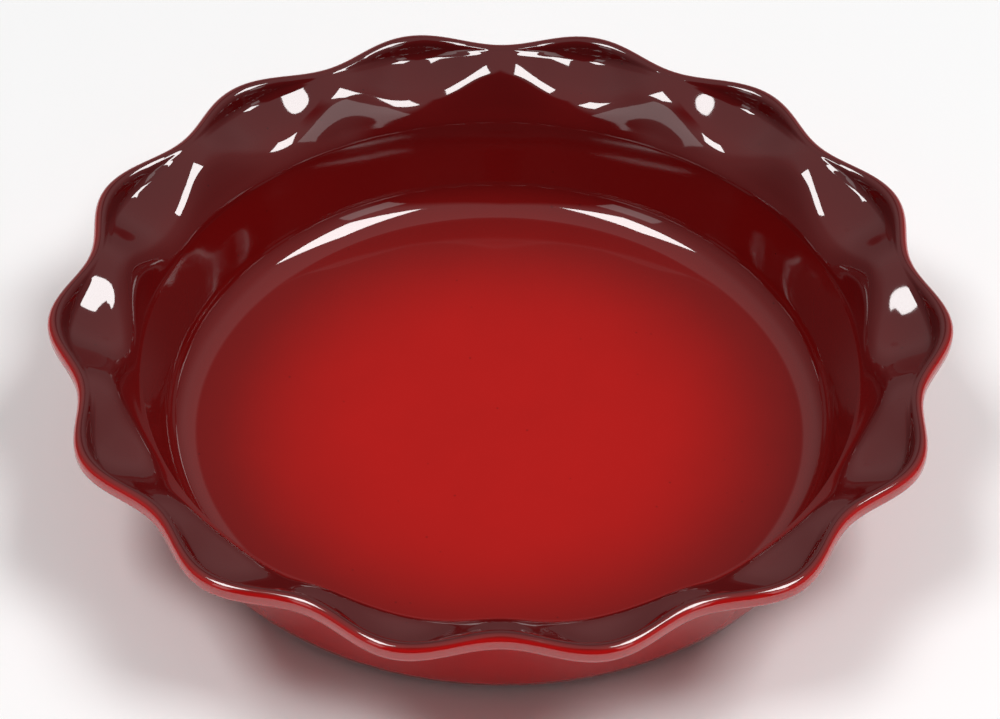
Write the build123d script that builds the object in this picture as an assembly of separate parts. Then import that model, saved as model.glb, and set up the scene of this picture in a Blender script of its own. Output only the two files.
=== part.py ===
from build123d import *
from math import cos, hypot, radians, sin, tan
import os

os.makedirs("parts", exist_ok=True)

# A fluted pie dish: one lump of fired clay with three coats of glaze on it.
# Lengths are in millimetres and angles in degrees. The table is at height zero,
# the dish's axis is Z, and two opposite scoops of the rim lie on the X axis.

# The floor and the round wall, as bare clay
floor_height = 6.2             # the level middle of the floor above the table
floor_flat_width = 122.0       # the floor is level this far across
floor_rise = 1.0               # the floor climbs this much towards its edge
floor_edge_slope = 3.6
floor_corner_width = 201.6     # across the floor where the wall's line would meet it
floor_corner_radius = 11.4
wall_lean = 17.0               # from upright, inside and outside alike
wall_height = 34.2             # the wall is round up to here, inside
wall_thickness = 6.15          # measured level
under_rim_drop = 3.9           # outside, the wall is round up to this much lower

# The rim
flute_count = 14
flute_depth = 7.4              # a ridge's lip stands this far in from a scoop's
rim_reach = 27.45              # from the top of the round wall out to a scoop's lip, over the glaze
rim_height = 17.8              # from the top of the round wall up to the lip, over the glaze
lip_thickness = 6.0            # the height of the rim's outer edge, over the glaze
lip_corner_radius = 2.4        # over the glaze
ridge_breadth = 1.0            # above one, the ridges are broader than the scoops

# Points of the rim's top between the wall and the lip, from the wall outwards. Each
# holds its share of the way out to the lip's edge and of the way up to the lip's top.
scoop_shares = [(0.070, 0.190), (0.190, 0.370), (0.353, 0.460), (0.514, 0.510),
                (0.752, 0.640), (0.823, 0.765), (0.862, 0.943)]
ridge_shares = [(0.150, 0.310), (0.333, 0.632), (0.455, 0.787), (0.588, 0.874),
                (0.730, 0.937), (0.812, 0.966), (0.858, 0.989)]
scoop_slopes = [52.0, 33.0, 9.0, 15.0, 25.0, 70.0, 62.0]
ridge_slopes = [61.0, 54.0, 36.0, 24.0, 19.0, 15.0, 9.0]

# The point of the rim's underside between the lip and the wall, in the same way
scoop_under_share = (0.320, 0.345)
ridge_under_share = (0.430, 0.577)
scoop_under_slope = -160.0
ridge_under_slope = -140.0

# Slopes round the lip, from its top over its edge to its underside
glaze_meeting_slope = -25.0    # the inside glaze meets the outside glaze here
scoop_lip_end_slope = -130.0
ridge_lip_end_slope = -160.0

# The foot
base_corner_radius = 16.0
glaze_stop_slope = -162.0      # the outside glaze ends where the base's rounding has this slope
foot_width = 5.0               # the level part of the bare ring that stands on the table
foot_height = 1.6              # how far the underside lies above the table
foot_edge_radius = 0.5

glaze_thickness = 0.4
quarter_turn = 90.0
half_turn = 180.0
flute_angle = 360.0 / flute_count
section_count = 12             # how many steps one flute's skin is lofted in


def direction(angle):
    """The unit step at this angle, as its two parts."""
    return cos(radians(angle)), sin(radians(angle))


def on_rounding(center_out, center_up, radius, slope):
    """The point where a rounding has this slope, on an outline that runs outwards over the top."""
    step_out, step_up = direction(slope + quarter_turn)
    return center_out + radius * step_out, center_up + radius * step_up, slope


def on_wall(height, thickness, slope):
    """The point of the leaning wall at this height, inside or a thickness further out."""
    foot_height_inside = floor_height + floor_rise
    lean_out = (height - foot_height_inside) * tan(radians(wall_lean))
    return floor_corner_width / 2 + lean_out + thickness, height, slope


def floor_and_wall():
    """The clay's outline from the level floor to the top of the round wall."""
    slope = quarter_turn - wall_lean
    edge_height = floor_height + floor_rise
    tangent = floor_corner_radius * tan(radians(slope) / 2)
    corner_end = edge_height + tangent * sin(radians(slope))
    return [
        (floor_flat_width / 2, floor_height, 0.0),
        (floor_corner_width / 2 - tangent, edge_height, floor_edge_slope),
        on_wall(corner_end, 0.0, slope),
        on_wall(wall_height, 0.0, slope),
    ]


def lip_rounding(depth, level, slope):
    """A point of the lip's edge, on its upper or lower rounding, this deep in from a scoop's."""
    wall_out, wall_up, wall_slope = on_wall(wall_height, 0.0, 0.0)
    center_out = wall_out + rim_reach - lip_corner_radius - depth
    center_up = wall_up + rim_height - lip_corner_radius - level
    return on_rounding(center_out, center_up, lip_corner_radius - glaze_thickness, slope)


def between(start, depth, shares, slopes):
    """Points at their shares of the way from a point of the wall to the lip's edge and top."""
    edge_out = lip_rounding(depth, 0.0, -quarter_turn)[0]
    top_up = lip_rounding(depth, 0.0, 0.0)[1]
    return [
        (start[0] + share_out * (edge_out - start[0]), start[1] + share_up * (top_up - start[1]), slope)
        for (share_out, share_up), slope in zip(shares, slopes)
    ]


def blended(scoop_points, ridge_points, scoop_share):
    """Points part of the way from a ridge's outline to a scoop's."""
    return [
        tuple(scoop_share * a + (1 - scoop_share) * b for a, b in zip(scoop_point, ridge_point))
        for scoop_point, ridge_point in zip(scoop_points, ridge_points)
    ]


def inside_outline(angle):
    """The clay's outline from the level floor to where the two glazes meet on the lip."""
    scoop_share = (1 + cos(radians(flute_count * angle))) / 2
    wall = floor_and_wall()
    rims = [
        between(wall[-1], 0.0, scoop_shares, scoop_slopes),
        between(wall[-1], flute_depth, ridge_shares, ridge_slopes),
    ]
    lips = [
        [lip_rounding(depth, 0.0, slope) for slope in (0.0, glaze_meeting_slope)]
        for depth in (0.0, flute_depth)
    ]
    return wall + blended(*rims, scoop_share ** ridge_breadth) + blended(*lips, scoop_share)


def outside_outline(angle):
    """The clay's outline from where the glazes meet, over the lip's edge and down to the glaze's end."""
    scoop_share = (1 + cos(radians(flute_count * angle))) / 2
    wall_end = on_wall(wall_height - under_rim_drop, wall_thickness, -quarter_turn - wall_lean)
    lip_drop = lip_thickness - 2 * lip_corner_radius
    lips = [
        [
            lip_rounding(depth, 0.0, glaze_meeting_slope),
            lip_rounding(depth, 0.0, -quarter_turn),
            lip_rounding(depth, lip_drop, -quarter_turn),
            lip_rounding(depth, lip_drop, end_slope),
        ]
        for depth, end_slope in ((0.0, scoop_lip_end_slope), (flute_depth, ridge_lip_end_slope))
    ]
    rims = [
        between(wall_end, 0.0, [scoop_under_share], [scoop_under_slope]),
        between(wall_end, flute_depth, [ridge_under_share], [ridge_under_slope]),
    ]
    corner = [base_rounding(slope) for slope in (-quarter_turn - wall_lean, glaze_stop_slope)]
    return blended(*lips, scoop_share) + blended(*rims, scoop_share ** ridge_breadth) + [wall_end] + corner


def base_rounding(slope):
    """The point where the clay's rounding between the outer wall and the table has this slope."""
    wall_foot = on_wall(0.0, wall_thickness, 0.0)[0]
    lean = radians(wall_lean)
    center_out = wall_foot + base_corner_radius * (tan(lean) - 1 / cos(lean))
    return on_rounding(center_out, base_corner_radius, base_corner_radius, slope)


def foot_outline(angle):
    """The bare clay from the end of the outside glaze to the table, the same at every angle."""
    return [base_rounding(glaze_stop_slope), base_rounding(-half_turn)]


def skin_edges(outline, coat, angle):
    """The smooth curves through an outline moved off the clay by a coat, turned to its angle.

    Each curve is as near to an arc as its two ends allow.
    """
    across, along = direction(angle)
    points = [on_rounding(out, up, coat, slope) for out, up, slope in outline]
    edges = []
    for (out_a, up_a, slope_a), (out_b, up_b, slope_b) in zip(points, points[1:]):
        chord = hypot(out_b - out_a, up_b - up_a)
        handle = chord / (3 * cos(radians(slope_b - slope_a) / 4) ** 2)
        step_a, climb_a = direction(slope_a)
        step_b, climb_b = direction(slope_b)
        controls = [
            (out_a, up_a),
            (out_a + handle * step_a, up_a + handle * climb_a),
            (out_b - handle * step_b, up_b - handle * climb_b),
            (out_b, up_b),
        ]
        edges.append(Edge.make_bezier(*[(out * across, out * along, up) for out, up in controls]))
    return edges


def flute(section_wire):
    """The skin lofted across one flute, from the middle of a ridge to the middle of the next."""
    angles = [flute_angle * (i / section_count - 0.5) for i in range(section_count + 1)]
    return Shell.make_loft([section_wire(angle) for angle in angles])


def all_round(shapes):
    """Every shape repeated once for each flute."""
    return [shape.rotate(Axis.Z, i * flute_angle) for i in range(flute_count) for shape in shapes]


def level_face(skin, height, width):
    """The plane face that closes the round edge of this width and height on one flute's skin."""
    tolerance = glaze_thickness / 100

    def is_on_edge(point):
        return abs(point.Z - height) < tolerance and abs(hypot(point.X, point.Y) - width / 2) < tolerance

    edges = [edge for edge in skin.edges() if all(is_on_edge(edge @ share) for share in (0, 0.5, 1))]
    return Face(Wire(all_round(edges[:1])))


def clay_section(angle):
    """The clay's whole skin cut through at one angle, from the floor over the rim to the table."""
    outlines = (inside_outline, outside_outline, foot_outline)
    return Wire([edge for outline in outlines for edge in skin_edges(outline(angle), 0.0, angle)])


def stoneware_body():
    """The clay: floor, wall and rim in one, hollowed underneath to leave a foot ring."""
    skin = flute(clay_section)
    foot_out = base_rounding(-half_turn)[0]
    floor = level_face(skin, floor_height, floor_flat_width)
    table = level_face(skin, 0.0, 2 * foot_out)
    body = Solid(Shell(all_round(skin.faces()) + [floor, table]))
    hollow = Cylinder(foot_out - foot_width, foot_height, align=(Align.CENTER, Align.CENTER, Align.MIN))
    body -= hollow
    edges = body.edges().filter_by(GeomType.CIRCLE).group_by(Axis.Z)[0].sort_by(SortBy.RADIUS)
    return fillet(edges[:1], foot_edge_radius)


def base_glaze():
    """The coat on the underside, inside the foot ring."""
    foot_out = base_rounding(-half_turn)[0]
    coat = Cylinder(foot_out - foot_width, glaze_thickness, align=(Align.CENTER, Align.CENTER, Align.MAX))
    return Pos(0, 0, foot_height) * coat


def coat_section(outline, angle, ends_at_floor):
    """A coat cut through at one angle: its face, its back against the clay, and its thin ends."""
    face = skin_edges(outline(angle), glaze_thickness, angle)
    back = skin_edges(outline(angle), 0.0, angle)
    ends = [Edge.make_line(face[-1] @ 1, back[-1] @ 1)]
    if not ends_at_floor:
        ends.append(Edge.make_line(face[0] @ 0, back[0] @ 0))
    return Wire(face + ends + back)


def inside_glaze():
    """The coat on the floor, the inside of the wall and the rim up to its outer edge."""
    skin = flute(lambda angle: coat_section(inside_outline, angle, True))
    levels = [
        level_face(skin, floor_height + coat, floor_flat_width) for coat in (glaze_thickness, 0.0)
    ]
    return Solid(Shell(all_round(skin.faces()) + levels))


def outside_glaze():
    """The coat over the rim's edge and down the outside, ending at the bare foot."""
    skin = flute(lambda angle: coat_section(outside_outline, angle, False))
    return Solid(Shell(all_round(skin.faces())))


parts = {
    "stoneware_body": stoneware_body(),
    "inside_glaze": inside_glaze(),
    "outside_glaze": outside_glaze(),
    "base_glaze": base_glaze(),
}
for name, shape in parts.items():
    export_step(shape, f"parts/{name}.step")
    print(name, len(shape.faces()), "faces", "sound" if shape.is_valid else "faulty")
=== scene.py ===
# %% [markdown]
# # A glazed stoneware pie dish
# The real dish is one lump of clay, pressed over a round mould. Its rim is worked into
# 14 shallow scoops with a ridge between each two. Glass is then fired onto it in coats.
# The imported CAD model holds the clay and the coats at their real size, so this script
# starts from it, remakes the two large coats with a finer mesh, and gives all of them
# their colour and gloss.

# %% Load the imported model
import bmesh
import bpy
from math import atan2, cos, hypot, pi, radians, sin, tan
from mathutils import Matrix, Vector
from mathutils.geometry import interpolate_bezier


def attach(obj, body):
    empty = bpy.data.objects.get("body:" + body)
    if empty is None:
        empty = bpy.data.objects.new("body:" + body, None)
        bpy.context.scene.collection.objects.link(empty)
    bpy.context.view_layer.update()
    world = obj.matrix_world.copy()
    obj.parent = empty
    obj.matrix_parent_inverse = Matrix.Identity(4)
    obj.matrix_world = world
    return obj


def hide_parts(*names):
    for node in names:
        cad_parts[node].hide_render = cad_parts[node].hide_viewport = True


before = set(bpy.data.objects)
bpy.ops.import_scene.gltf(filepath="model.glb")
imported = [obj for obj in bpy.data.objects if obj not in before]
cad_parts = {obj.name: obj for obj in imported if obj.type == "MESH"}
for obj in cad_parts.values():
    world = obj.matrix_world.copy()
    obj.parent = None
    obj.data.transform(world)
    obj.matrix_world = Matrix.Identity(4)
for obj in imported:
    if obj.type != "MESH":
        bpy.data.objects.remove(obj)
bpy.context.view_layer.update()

MM = 0.001
print("The packed model holds", sorted(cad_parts))

# %% [markdown]
# ## The outline, cut through the dish
# A round dish is turned from one outline. This one has two: one through the middle of a
# scoop, one along the top of a ridge. They share the floor, the wall and the foot, and
# differ over the rim. Everything between them is a blend, so we only need to write two.
# Each point of an outline is a distance out from the axis, a height and a slope in
# degrees, read from the floor outwards over the lip and down towards the table.

# %% Sizes of the floor, the wall and the foot
FLOOR_HEIGHT = 6.2 * MM
FLOOR_FLAT_WIDTH = 122.0 * MM
FLOOR_RISE = 1.0 * MM
FLOOR_EDGE_SLOPE = 3.6
FLOOR_CORNER_WIDTH = 201.6 * MM
FLOOR_CORNER_RADIUS = 11.4 * MM
WALL_LEAN = 17.0
WALL_HEIGHT = 34.2 * MM
WALL_THICKNESS = 6.15 * MM
UNDER_RIM_DROP = 3.9 * MM
BASE_CORNER_RADIUS = 16.0 * MM
GLAZE_STOP_SLOPE = -162.0
GLAZE = 0.4 * MM

# %% Sizes of the rim
FLUTE_COUNT = 14
FLUTE_DEPTH = 7.4 * MM
RIM_REACH = 27.45 * MM
RIM_HEIGHT = 17.8 * MM
LIP_THICKNESS = 6.0 * MM
LIP_CORNER_RADIUS = 2.4 * MM
RIDGE_BREADTH = 1.0
SCOOP_SHARES = [(0.070, 0.190), (0.190, 0.370), (0.353, 0.460), (0.514, 0.510),
                (0.752, 0.640), (0.823, 0.765), (0.862, 0.943)]
RIDGE_SHARES = [(0.150, 0.310), (0.333, 0.632), (0.455, 0.787), (0.588, 0.874),
                (0.730, 0.937), (0.812, 0.966), (0.858, 0.989)]
SCOOP_SLOPES = [52.0, 33.0, 9.0, 15.0, 25.0, 70.0, 62.0]
RIDGE_SLOPES = [61.0, 54.0, 36.0, 24.0, 19.0, 15.0, 9.0]
SCOOP_UNDER = (0.320, 0.345), -160.0
RIDGE_UNDER = (0.430, 0.577), -140.0
GLAZE_MEETING_SLOPE = -25.0
SCOOP_LIP_END_SLOPE = -130.0
RIDGE_LIP_END_SLOPE = -160.0

# %% Points on roundings and on the wall
def step_at(degrees):
    return cos(radians(degrees)), sin(radians(degrees))


def on_rounding(out, up, radius, slope):
    """The point where a rounding about a centre has this slope."""
    step_out, step_up = step_at(slope + 90)
    return out + radius * step_out, up + radius * step_up, slope


def on_wall(height, thickness, slope):
    lean_out = (height - FLOOR_HEIGHT - FLOOR_RISE) * tan(radians(WALL_LEAN))
    return FLOOR_CORNER_WIDTH / 2 + lean_out + thickness, height, slope


def lip_rounding(depth, level, slope):
    """A point of the lip's edge, on its upper or lower rounding."""
    wall_out, wall_up, _ = on_wall(WALL_HEIGHT, 0, 0)
    out = wall_out + RIM_REACH - LIP_CORNER_RADIUS - depth
    up = wall_up + RIM_HEIGHT - LIP_CORNER_RADIUS - level
    return on_rounding(out, up, LIP_CORNER_RADIUS - GLAZE, slope)


def base_rounding(slope):
    lean = radians(WALL_LEAN)
    out = on_wall(0, WALL_THICKNESS, 0)[0] + BASE_CORNER_RADIUS * (tan(lean) - 1 / cos(lean))
    return on_rounding(out, BASE_CORNER_RADIUS, BASE_CORNER_RADIUS, slope)


# %% The two outlines and what lies between them
def between(start, depth, shares, slopes):
    """Points at their shares of the way from the wall to the lip's edge and top."""
    edge_out, top_up = lip_rounding(depth, 0, -90)[0], lip_rounding(depth, 0, 0)[1]
    return [
        (start[0] + share_out * (edge_out - start[0]), start[1] + share_up * (top_up - start[1]), slope)
        for (share_out, share_up), slope in zip(shares, slopes)
    ]


def blended(scoop_points, ridge_points, share):
    return [
        tuple(share * a + (1 - share) * b for a, b in zip(scoop_point, ridge_point))
        for scoop_point, ridge_point in zip(scoop_points, ridge_points)
    ]


def inside_outline(scoop_share):
    """From the middle of the floor to where the two glazes meet on the lip."""
    slope = 90 - WALL_LEAN
    edge_height = FLOOR_HEIGHT + FLOOR_RISE
    tangent = FLOOR_CORNER_RADIUS * tan(radians(slope) / 2)
    wall = [
        (0, FLOOR_HEIGHT, 0),
        (FLOOR_FLAT_WIDTH / 2, FLOOR_HEIGHT, 0),
        (FLOOR_CORNER_WIDTH / 2 - tangent, edge_height, FLOOR_EDGE_SLOPE),
        on_wall(edge_height + tangent * sin(radians(slope)), 0, slope),
        on_wall(WALL_HEIGHT, 0, slope),
    ]
    rims = [between(wall[-1], 0, SCOOP_SHARES, SCOOP_SLOPES),
            between(wall[-1], FLUTE_DEPTH, RIDGE_SHARES, RIDGE_SLOPES)]
    lips = [[lip_rounding(depth, 0, slope) for slope in (0, GLAZE_MEETING_SLOPE)]
            for depth in (0, FLUTE_DEPTH)]
    return wall + blended(*rims, scoop_share ** RIDGE_BREADTH) + blended(*lips, scoop_share)


def outside_outline(scoop_share):
    """From where the glazes meet, over the lip and down to the bare foot."""
    slope = -90 - WALL_LEAN
    wall_end = on_wall(WALL_HEIGHT - UNDER_RIM_DROP, WALL_THICKNESS, slope)
    drop = LIP_THICKNESS - 2 * LIP_CORNER_RADIUS
    lips = [[lip_rounding(depth, 0, GLAZE_MEETING_SLOPE), lip_rounding(depth, 0, -90),
             lip_rounding(depth, drop, -90), lip_rounding(depth, drop, end_slope)]
            for depth, end_slope in ((0, SCOOP_LIP_END_SLOPE), (FLUTE_DEPTH, RIDGE_LIP_END_SLOPE))]
    rims = [between(wall_end, depth, [share], [under_slope])
            for depth, (share, under_slope) in ((0, SCOOP_UNDER), (FLUTE_DEPTH, RIDGE_UNDER))]
    base = [wall_end, base_rounding(slope), base_rounding(GLAZE_STOP_SLOPE)]
    return blended(*lips, scoop_share) + blended(*rims, scoop_share ** RIDGE_BREADTH) + base


print("Outline points inside and outside:", len(inside_outline(1)), len(outside_outline(1)))

# %% [markdown]
# ## From points to a smooth line
# Between two points we lay a Bezier curve. A circle's arc needs handles of one known
# length for its chord and its turn, so the same rule keeps every curve as near to a
# round arc as its ends allow. A coat of glaze is the same outline moved off the clay.
# Where the outline is straight, a few points are enough, and its bends get more.

# %% Smooth lines
def smooth_line(outline, coat, degrees_per_step):
    """The line through an outline moved off the clay, as vectors of distance out and height."""
    points = [on_rounding(out, up, coat, slope) for out, up, slope in outline(1)]
    counts = [int(max(4, abs(b[2] - a[2])) / degrees_per_step) + 2 for a, b in zip(points, points[1:])]

    def at(scoop_share):
        line = []
        points = [on_rounding(out, up, coat, slope) for out, up, slope in outline(scoop_share)]
        for (out_a, up_a, slope_a), (out_b, up_b, slope_b), count in zip(points, points[1:], counts):
            chord = hypot(out_b - out_a, up_b - up_a)
            handle = chord / (3 * cos(radians(slope_b - slope_a) / 4) ** 2)
            start, end = Vector((out_a, up_a)), Vector((out_b, up_b))
            after = start + handle * Vector(step_at(slope_a))
            before = end - handle * Vector(step_at(slope_b))
            piece = interpolate_bezier(start, after, before, end, count + 1)
            line += piece if not line else piece[1:]
        return line

    return at


# %% [markdown]
# ## Spin, then press the flutes
# The spin operator turns the scoop's outline round the axis, which gives an even grid,
# and each vertex remembers its place along the outline. Each vertex then moves to the
# same place on the outline that belongs to its own angle, as the maker presses flutes
# into a round rim. Each vertex also gets its distance along the glaze from the line
# where the two colours meet, which the materials read later.

# %% Spinning a coat
STEPS_PER_FLUTE = 32
FACE_STEP = 5.0
BACK_STEP = 16.0


def lip_distances(line, meets_at_end):
    """How far each point of a line is from its end at the lip, along the line."""
    steps = [(b - a).length for a, b in zip(line, line[1:])]
    total, distances = 0, [0]
    for step in (reversed(steps) if meets_at_end else steps):
        total += step
        distances.append(total)
    return distances[::-1] if meets_at_end else distances


def spun_coat(name, outline, meets_at_end):
    """A thin closed coat between the clay's outline and the same outline with glaze on."""
    face_at, back_at = smooth_line(outline, GLAZE, FACE_STEP), smooth_line(outline, 0, BACK_STEP)
    lines = {}
    for i in range(STEPS_PER_FLUTE // 2 + 1):
        share = (1 + cos(2 * pi * i / STEPS_PER_FLUTE)) / 2
        face, back = face_at(share), back_at(share)
        distances = lip_distances(face, meets_at_end)
        lines[i] = list(zip(face, distances)) + [(point, 0) for point in reversed(back)]
    bm = bmesh.new()
    place = bm.verts.layers.int.new("place")
    from_lip = bm.verts.layers.float.new("from_lip")
    verts = []
    for i, (point, _) in enumerate(lines[0]):
        vert = bm.verts.new((point.x, 0, point.y))
        vert[place] = i
        verts.append(vert)
    pairs = list(zip(verts, verts[1:]))
    if not meets_at_end:
        pairs.append((verts[-1], verts[0]))
    edges = [bm.edges.new(pair) for pair in pairs]
    bmesh.ops.spin(bm, geom=verts + edges, cent=(0, 0, 0), axis=(0, 0, 1), angle=2 * pi,
                   steps=FLUTE_COUNT * STEPS_PER_FLUTE, use_merge=True)
    for vert in bm.verts:
        angle = atan2(vert.co.y, vert.co.x)
        step = round(angle * FLUTE_COUNT * STEPS_PER_FLUTE / (2 * pi)) % STEPS_PER_FLUTE
        point, distance = lines[min(step, STEPS_PER_FLUTE - step)][vert[place]]
        vert.co = (point.x * cos(angle), point.x * sin(angle), point.y)
        vert[from_lip] = distance
    bmesh.ops.remove_doubles(bm, verts=bm.verts, dist=0.0001 * MM)
    bmesh.ops.recalc_face_normals(bm, faces=bm.faces)
    for face in bm.faces:
        face.smooth = True
    for edge in bm.edges:
        edge.smooth = edge.calc_face_angle(0) < radians(40)
    bm.verts.layers.int.remove(bm.verts.layers.int["place"])
    mesh = bpy.data.meshes.new(name)
    bm.to_mesh(mesh)
    bm.free()
    piece = bpy.data.objects.new(name, mesh)
    bpy.context.scene.collection.objects.link(piece)
    print(name, "has", len(mesh.vertices), "vertices and", len(mesh.polygons), "faces")
    return piece


# %% The inside coat
inside_glaze = spun_coat("inside_glaze_coat", inside_outline, True)
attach(inside_glaze, "root")
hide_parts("inside_glaze")

# %% The outside coat
outside_glaze = spun_coat("outside_glaze_coat", outside_outline, False)
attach(outside_glaze, "root")
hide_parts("outside_glaze")

# %% [markdown]
# ## Coloured glaze
# Fired glaze is a coat of coloured glass. Its colour comes from within, and a clear
# smooth face mirrors the studio, which gives the hazy and the white patches. One
# Principled shader does both: the base colour and a low roughness. A flat colour would
# look like plastic, because glass that has run in a kiln is never quite even. All the
# glazes share that unevenness, so we build it once, as a node group.

# %% Node helpers
def join(tree, value, socket):
    """Link a socket to another one, or give it a plain value."""
    if isinstance(value, bpy.types.NodeSocket):
        tree.links.new(value, socket)
    else:
        socket.default_value = value


def node(tree, kind, place, sockets=(), **settings):
    made = tree.nodes.new(kind)
    made.location = place
    for key, value in settings.items():
        setattr(made, key, value)
    for key, value in dict(sockets).items():
        join(tree, value, made.inputs[key])
    return made


def math_node(tree, operation, place, *values):
    return node(tree, "ShaderNodeMath", place, dict(enumerate(values)), operation=operation).outputs[0]


def ranged(tree, value, low, high, low_out, high_out, place):
    """A smooth step from one value to another."""
    sockets = {"Value": value, "From Min": low, "From Max": high, "To Min": low_out, "To Max": high_out}
    made = node(tree, "ShaderNodeMapRange", place, sockets, interpolation_type="SMOOTHSTEP")
    return made.outputs[0]


def noise(tree, vector, scale, detail, place):
    sockets = {"Vector": vector, "Scale": scale, "Detail": detail}
    return node(tree, "ShaderNodeTexNoise", place, sockets).outputs[0]


def new_group(name, inputs, outputs):
    group = bpy.data.node_groups.new(name, "ShaderNodeTree")
    for in_out, sockets in (("INPUT", inputs), ("OUTPUT", outputs)):
        for label, kind in sockets.items():
            group.interface.new_socket(name=label, in_out=in_out, socket_type="NodeSocket" + kind)
    return group, node(group, "NodeGroupInput", (-1300, 0)), node(group, "NodeGroupOutput", (300, 0))


# %% Fired glass: mottling, pinpricks and a slow waviness
MOTTLE_SCALE = 60
PINPRICK_SCALE = 230
PINPRICK_MIDDLE, PINPRICK_EDGE = 0.05, 0.13
PINPRICK_CUT = 0.86
PINPRICK_DARKNESS = 0.30
GLOSS_SCALE = 18
WAVE_SCALE = 42
WAVE_HEIGHT = 0.05 * MM
GLOSS = 0.030, 0.060

fired_glass, start, end = new_group(
    "fired_glass", {"Color": "Color", "Mottling": "Float"},
    {"Color": "Color", "Roughness": "Float", "Normal": "Vector"})
where = node(fired_glass, "ShaderNodeTexCoord", (-1300, -300)).outputs["Object"]
cloud = noise(fired_glass, where, MOTTLE_SCALE, 3, (-1000, 100))
cloud = math_node(fired_glass, "SUBTRACT", (-800, 100), cloud, 0.5)
cloud = math_node(fired_glass, "MULTIPLY_ADD", (-600, 100), cloud, start.outputs["Mottling"], 1)
cells = node(fired_glass, "ShaderNodeTexVoronoi", (-1000, -200),
             {"Vector": where, "Scale": PINPRICK_SCALE})
prick = ranged(fired_glass, cells.outputs["Distance"],
               PINPRICK_MIDDLE, PINPRICK_EDGE, 1, 0, (-800, -150))
chosen = node(fired_glass, "ShaderNodeSeparateColor", (-800, -400), {"Color": cells.outputs["Color"]})
chosen = math_node(fired_glass, "GREATER_THAN", (-600, -400), chosen.outputs[0], PINPRICK_CUT)
prick = math_node(fired_glass, "MULTIPLY", (-600, -200), prick, chosen)
prick = math_node(fired_glass, "MULTIPLY_ADD", (-400, -200), prick, -PINPRICK_DARKNESS, 1)
shade = math_node(fired_glass, "MULTIPLY", (-200, 0), cloud, prick)
tinted = node(fired_glass, "ShaderNodeVectorMath", (0, 100),
              {0: start.outputs["Color"], "Scale": shade}, operation="SCALE")
gloss = noise(fired_glass, where, GLOSS_SCALE, 2, (-400, -450))
gloss = ranged(fired_glass, gloss, 0.3, 0.7, *GLOSS, (-200, -400))
wave = noise(fired_glass, where, WAVE_SCALE, 1, (-400, -700))
bump = node(fired_glass, "ShaderNodeBump", (0, -600),
            {"Height": wave, "Distance": WAVE_HEIGHT})
join(fired_glass, tinted.outputs[0], end.inputs["Color"])
join(fired_glass, gloss, end.inputs["Roughness"])
join(fired_glass, bump.outputs[0], end.inputs["Normal"])
print("The fired glass has", len(fired_glass.nodes), "nodes")

# %% Where the two colours meet
LIP_BLEND = 1.2 * MM
MEETING_COLOR = (0.19, 0.008, 0.007, 1)

towards_lip, start, end = new_group("towards_lip", {"Color": "Color"}, {"Color": "Color"})
from_lip = node(towards_lip, "ShaderNodeAttribute", (-900, -200), attribute_name="from_lip")
share = ranged(towards_lip, from_lip.outputs["Fac"], 0, LIP_BLEND, 0, 1, (-600, -200))
meeting = node(towards_lip, "ShaderNodeMix", (-200, 0),
               {"Factor": share, "A": MEETING_COLOR, "B": start.outputs["Color"]}, data_type="RGBA")
join(towards_lip, meeting.outputs["Result"], end.inputs["Color"])


# %% A glaze material
GLAZE_IOR = 1.8


def glaze_material(name, mottling):
    """A coat of fired glass that still waits for its colour."""
    material = bpy.data.materials.new(name)
    material.use_nodes = True
    tree = material.node_tree
    shader = tree.nodes["Principled BSDF"]
    shader.inputs["IOR"].default_value = GLAZE_IOR
    glass = node(tree, "ShaderNodeGroup", (-250, 0), node_tree=fired_glass)
    glass.inputs["Mottling"].default_value = mottling
    for label, socket in (("Color", "Base Color"), ("Roughness", "Roughness"), ("Normal", "Normal")):
        join(tree, glass.outputs[label], shader.inputs[socket])
    return material, tree, glass


# %% [markdown]
# ## Sprayed rings
# The inside is sprayed while the dish turns: bright red in the middle of the floor, and
# darker towards the wall, so the colour follows the distance from the axis. A spray gun
# leaves no sharp ring, so a little noise pushes each ring in and out before the ramp.

# %% Inside: red fading to maroon
RING_STOPS = [
    (0.038, (0.470, 0.0052, 0.0036)),
    (0.052, (0.440, 0.0052, 0.0036)),
    (0.062, (0.392, 0.0050, 0.0036)),
    (0.070, (0.336, 0.0048, 0.0036)),
    (0.078, (0.268, 0.0045, 0.0036)),
    (0.086, (0.200, 0.0042, 0.0036)),
    (0.098, (0.162, 0.0040, 0.0038)),
    (0.110, (0.122, 0.0040, 0.0042)),
    (0.120, (0.088, 0.0042, 0.0046)),
]
RAMP_REACH = 0.14
DRIFT_SCALE = 22
SPRAY_DRIFT = 5.0 * MM / RAMP_REACH

inside_material, tree, glass = glaze_material("fading_red_glaze", 0.10)
where = node(tree, "ShaderNodeTexCoord", (-1700, 0)).outputs["Object"]
flat = node(tree, "ShaderNodeVectorMath", (-1500, 0),
            {0: where, 1: (1 / RAMP_REACH, 1 / RAMP_REACH, 0)}, operation="MULTIPLY")
length = node(tree, "ShaderNodeVectorMath", (-1300, 0), {0: flat.outputs[0]}, operation="LENGTH")
drift = noise(tree, where, DRIFT_SCALE, 2, (-1500, -300))
drift = math_node(tree, "MULTIPLY_ADD", (-1300, -300), drift, SPRAY_DRIFT, -SPRAY_DRIFT / 2)
ring = math_node(tree, "ADD", (-1100, 0), length.outputs["Value"], drift)
ramp = node(tree, "ShaderNodeValToRGB", (-900, 0), {0: ring})
ramp.color_ramp.interpolation = "B_SPLINE"
while len(ramp.color_ramp.elements) < len(RING_STOPS):
    ramp.color_ramp.elements.new(0.5)
for element, (radius, color) in zip(ramp.color_ramp.elements, RING_STOPS):
    element.position = radius / RAMP_REACH
    element.color = (*color, 1)
lip = node(tree, "ShaderNodeGroup", (-550, 0), node_tree=towards_lip)
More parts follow.
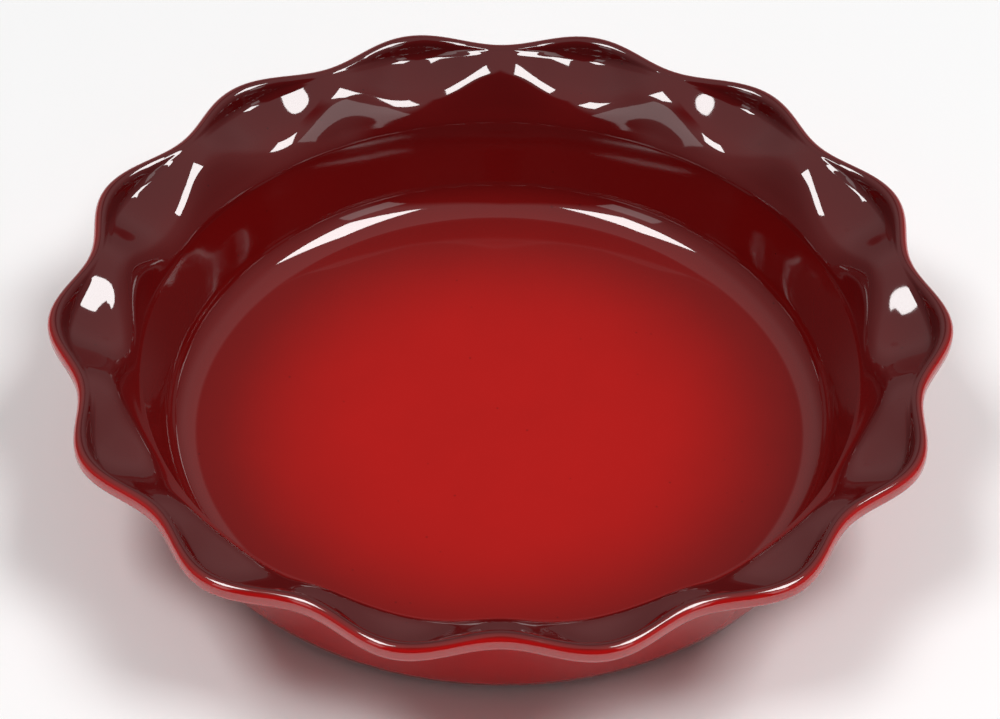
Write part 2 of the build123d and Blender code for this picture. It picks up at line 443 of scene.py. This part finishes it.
join(tree, ramp.outputs[0], lip.inputs["Color"])
join(tree, lip.outputs["Color"], glass.inputs["Color"])
inside_glaze.data.materials.append(inside_material)
print("The ring colours reach", RING_STOPS[-1][0] / MM, "mm from the axis")

# %% Outside and underside: red
RED = (0.45, 0.006, 0.006, 1)
outside_material, tree, glass = glaze_material("red_glaze", 0.16)
lip = node(tree, "ShaderNodeGroup", (-550, 0), node_tree=towards_lip)
lip.inputs["Color"].default_value = RED
join(tree, lip.outputs["Color"], glass.inputs["Color"])
outside_glaze.data.materials.append(outside_material)
base_material, tree, glass = glaze_material("base_red_glaze", 0.22)
glass.inputs["Color"].default_value = RED

# %% [markdown]
# ## Bare clay
# Only the foot ring is left without glaze, or the dish would stick to the kiln shelf.
# Fired stoneware is a warm buff with darker iron specks and a fine grain that feels like
# fine sandpaper. Two sizes of noise give its colour, cells give the specks, and the
# finest noise stands up as bump.

# %% Stoneware
CLAY_LIGHT, CLAY_DARK = (0.56, 0.44, 0.32, 1), (0.40, 0.29, 0.19, 1)
IRON = (0.12, 0.07, 0.04, 1)
CLAY_ROUGHNESS = 0.85
PATCH_SCALE, SPECK_SCALE, GRAIN_SCALE = 120, 420, 1600
GRAIN_HEIGHT = 0.12 * MM

clay = bpy.data.materials.new("bare_stoneware")
clay.use_nodes = True
tree = clay.node_tree
shader = tree.nodes["Principled BSDF"]
shader.inputs["Roughness"].default_value = CLAY_ROUGHNESS
where = node(tree, "ShaderNodeTexCoord", (-1300, 0)).outputs["Object"]
patches = noise(tree, where, PATCH_SCALE, 4, (-1100, 100))
patches = ranged(tree, patches, 0.35, 0.65, 0, 1, (-900, 100))
body = node(tree, "ShaderNodeMix", (-600, 100),
            {"Factor": patches, "A": CLAY_DARK, "B": CLAY_LIGHT}, data_type="RGBA")
cells = node(tree, "ShaderNodeTexVoronoi", (-1100, -200), {"Vector": where, "Scale": SPECK_SCALE})
specks = ranged(tree, cells.outputs["Distance"], 0.12, 0.22, 0.8, 0, (-900, -200))
speckled = node(tree, "ShaderNodeMix", (-300, 0),
                {"Factor": specks, "A": body.outputs["Result"], "B": IRON}, data_type="RGBA")
grain = noise(tree, where, GRAIN_SCALE, 3, (-600, -300))
grain = node(tree, "ShaderNodeBump", (-300, -300), {"Height": grain, "Distance": GRAIN_HEIGHT})
join(tree, speckled.outputs["Result"], shader.inputs["Base Color"])
join(tree, grain.outputs[0], shader.inputs["Normal"])

# %% Finishes for the nodes that come from the CAD model
for name, material in (("stoneware_body", clay), ("base_glaze", base_material)):
    cad_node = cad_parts[name]
    cad_node.data.materials.clear()
    cad_node.data.materials.append(material)
    print(name, "is finished with", material.name)

# %% [markdown]
# ## The studio
# A glossy thing is mostly a picture of the room around it. The room here is grey behind
# and above the dish and dark on the camera's side, with a dim spot straight behind it,
# which the level floor of the dish mirrors. A bright softbox hangs high on each side, and
# leaves white marks in the hollows.

# %% Floor
FLOOR_COLOR = (0.97, 0.97, 0.97, 1)
bpy.ops.mesh.primitive_plane_add(size=12)
floor = bpy.context.object
floor.name = "studio_floor"
paper = bpy.data.materials.new("white_paper")
paper.use_nodes = True
shader = paper.node_tree.nodes["Principled BSDF"]
shader.inputs["Base Color"].default_value = FLOOR_COLOR
shader.inputs["Roughness"].default_value = 0.9
shader.inputs["Specular IOR Level"].default_value = 0
floor.data.materials.append(paper)

# %% The room's light
DARK, GREY = 0.014, 0.285
SPOT_ELEVATION = radians(45)
SPOT_REACH, SPOT_MIDDLE = radians(11), radians(3.5)
world = bpy.data.worlds.new("studio")
bpy.context.scene.world = world
world.use_nodes = True
tree = world.node_tree
toward = node(tree, "ShaderNodeTexCoord", (-1500, 0)).outputs["Generated"]
axes = node(tree, "ShaderNodeSeparateXYZ", (-1300, 0), {0: toward})
sideways = math_node(tree, "ABSOLUTE", (-1100, 100), axes.outputs["X"])
behind = math_node(tree, "MULTIPLY_ADD", (-900, 100), sideways, 0.75, axes.outputs["Y"])
back = ranged(tree, behind, -0.36, -0.14, 0, 1, (-700, 100))
sides = ranged(tree, sideways, 0.5, 0.8, 1, 0.55, (-900, -200))
low = ranged(tree, axes.outputs["Z"], 0.05, 0.6, 0.45, 1, (-900, -500))
dot = node(tree, "ShaderNodeVectorMath", (-1100, -800),
           {0: toward, 1: (0, cos(SPOT_ELEVATION), sin(SPOT_ELEVATION))}, operation="DOT_PRODUCT")
spot = ranged(tree, dot.outputs["Value"], cos(SPOT_REACH), cos(SPOT_MIDDLE), 1, 0.3,
              (-900, -800))
lit = math_node(tree, "MULTIPLY", (-500, 0), back, sides)
lit = math_node(tree, "MULTIPLY", (-350, 0), lit, low)
lit = math_node(tree, "MULTIPLY", (-200, 0), lit, spot)
lit = math_node(tree, "MULTIPLY_ADD", (-50, 0), lit, GREY, DARK)
path = node(tree, "ShaderNodeLightPath", (-50, 300))
shown = node(tree, "ShaderNodeMix", (120, 0),
             {"Factor": path.outputs["Is Camera Ray"], "A": lit, "B": 1.0}, data_type="FLOAT")
join(tree, (1, 1, 1, 1), tree.nodes["Background"].inputs["Color"])
join(tree, shown.outputs["Result"], tree.nodes["Background"].inputs["Strength"])

# %% Softboxes
LAMP_DISTANCE = 2.4
RIM_MIDDLE = Vector((0, 0, 0.04))


def softbox(name, azimuth, elevation, width, height, radiance):
    """A lit rectangle, placed and sized by the angles at which the dish sees it."""
    turn, rise = radians(azimuth), radians(elevation)
    toward = Vector((sin(turn) * cos(rise), cos(turn) * cos(rise), sin(rise)))
    light = bpy.data.lights.new(name, "AREA")
    light.shape = "RECTANGLE"
    light.size, light.size_y = (2 * LAMP_DISTANCE * tan(radians(angle) / 2) for angle in (width, height))
    light.energy = radiance * pi * light.size * light.size_y
    lamp = bpy.data.objects.new(name, light)
    lamp.location = RIM_MIDDLE + LAMP_DISTANCE * toward
    lamp.rotation_euler = toward.to_track_quat("Z", "Y").to_euler()
    bpy.context.scene.collection.objects.link(lamp)
    print(name, "gives", round(light.energy), "W")


softbox("right_softbox", 102, 61, 24, 22, 10.2)
softbox("left_softbox", -109, 65.5, 21.6, 18, 10.2)
softbox("low_right_softbox", 135, 32, 16, 20, 0.9)
softbox("low_left_softbox", -135, 32, 16, 20, 0.9)

# %% [markdown]
# ## The camera
# The photograph was taken from the front, about 44 degrees above the table, with a long
# lens, so the far side of the dish looks hardly smaller than the near side.

# %% Camera
CAMERA_ELEVATION = radians(44.385)
CAMERA_ROLL = radians(0.844)
CAMERA_TURN = radians(-0.609)
CAMERA_DISTANCE = 1361.8 * MM
CAMERA_AIM = Vector((-0.07 * MM, 30.1 * MM, 5.6 * MM))
LENS_WIDTH_SHARE = 4.3449
camera_data = bpy.data.cameras.new("photo_camera")
camera_data.sensor_width = 36
camera_data.lens = camera_data.sensor_width * LENS_WIDTH_SHARE
forward = Vector((0, cos(CAMERA_ELEVATION), -sin(CAMERA_ELEVATION)))
up = Vector((0, sin(CAMERA_ELEVATION), cos(CAMERA_ELEVATION)))
right = Vector((1, 0, 0))
rolled_right = right * cos(CAMERA_ROLL) + up * sin(CAMERA_ROLL)
rolled_up = up * cos(CAMERA_ROLL) - right * sin(CAMERA_ROLL)
axes = Matrix((rolled_right, rolled_up, -forward)).transposed().to_4x4()
place = Matrix.Translation(CAMERA_AIM - CAMERA_DISTANCE * forward)
camera = bpy.data.objects.new("photo_camera", camera_data)
camera.matrix_world = Matrix.Rotation(CAMERA_TURN, 4, "Z") @ place @ axes
bpy.context.scene.collection.objects.link(camera)
bpy.context.scene.camera = camera

bpy.context.scene.view_settings.view_transform = "Standard"
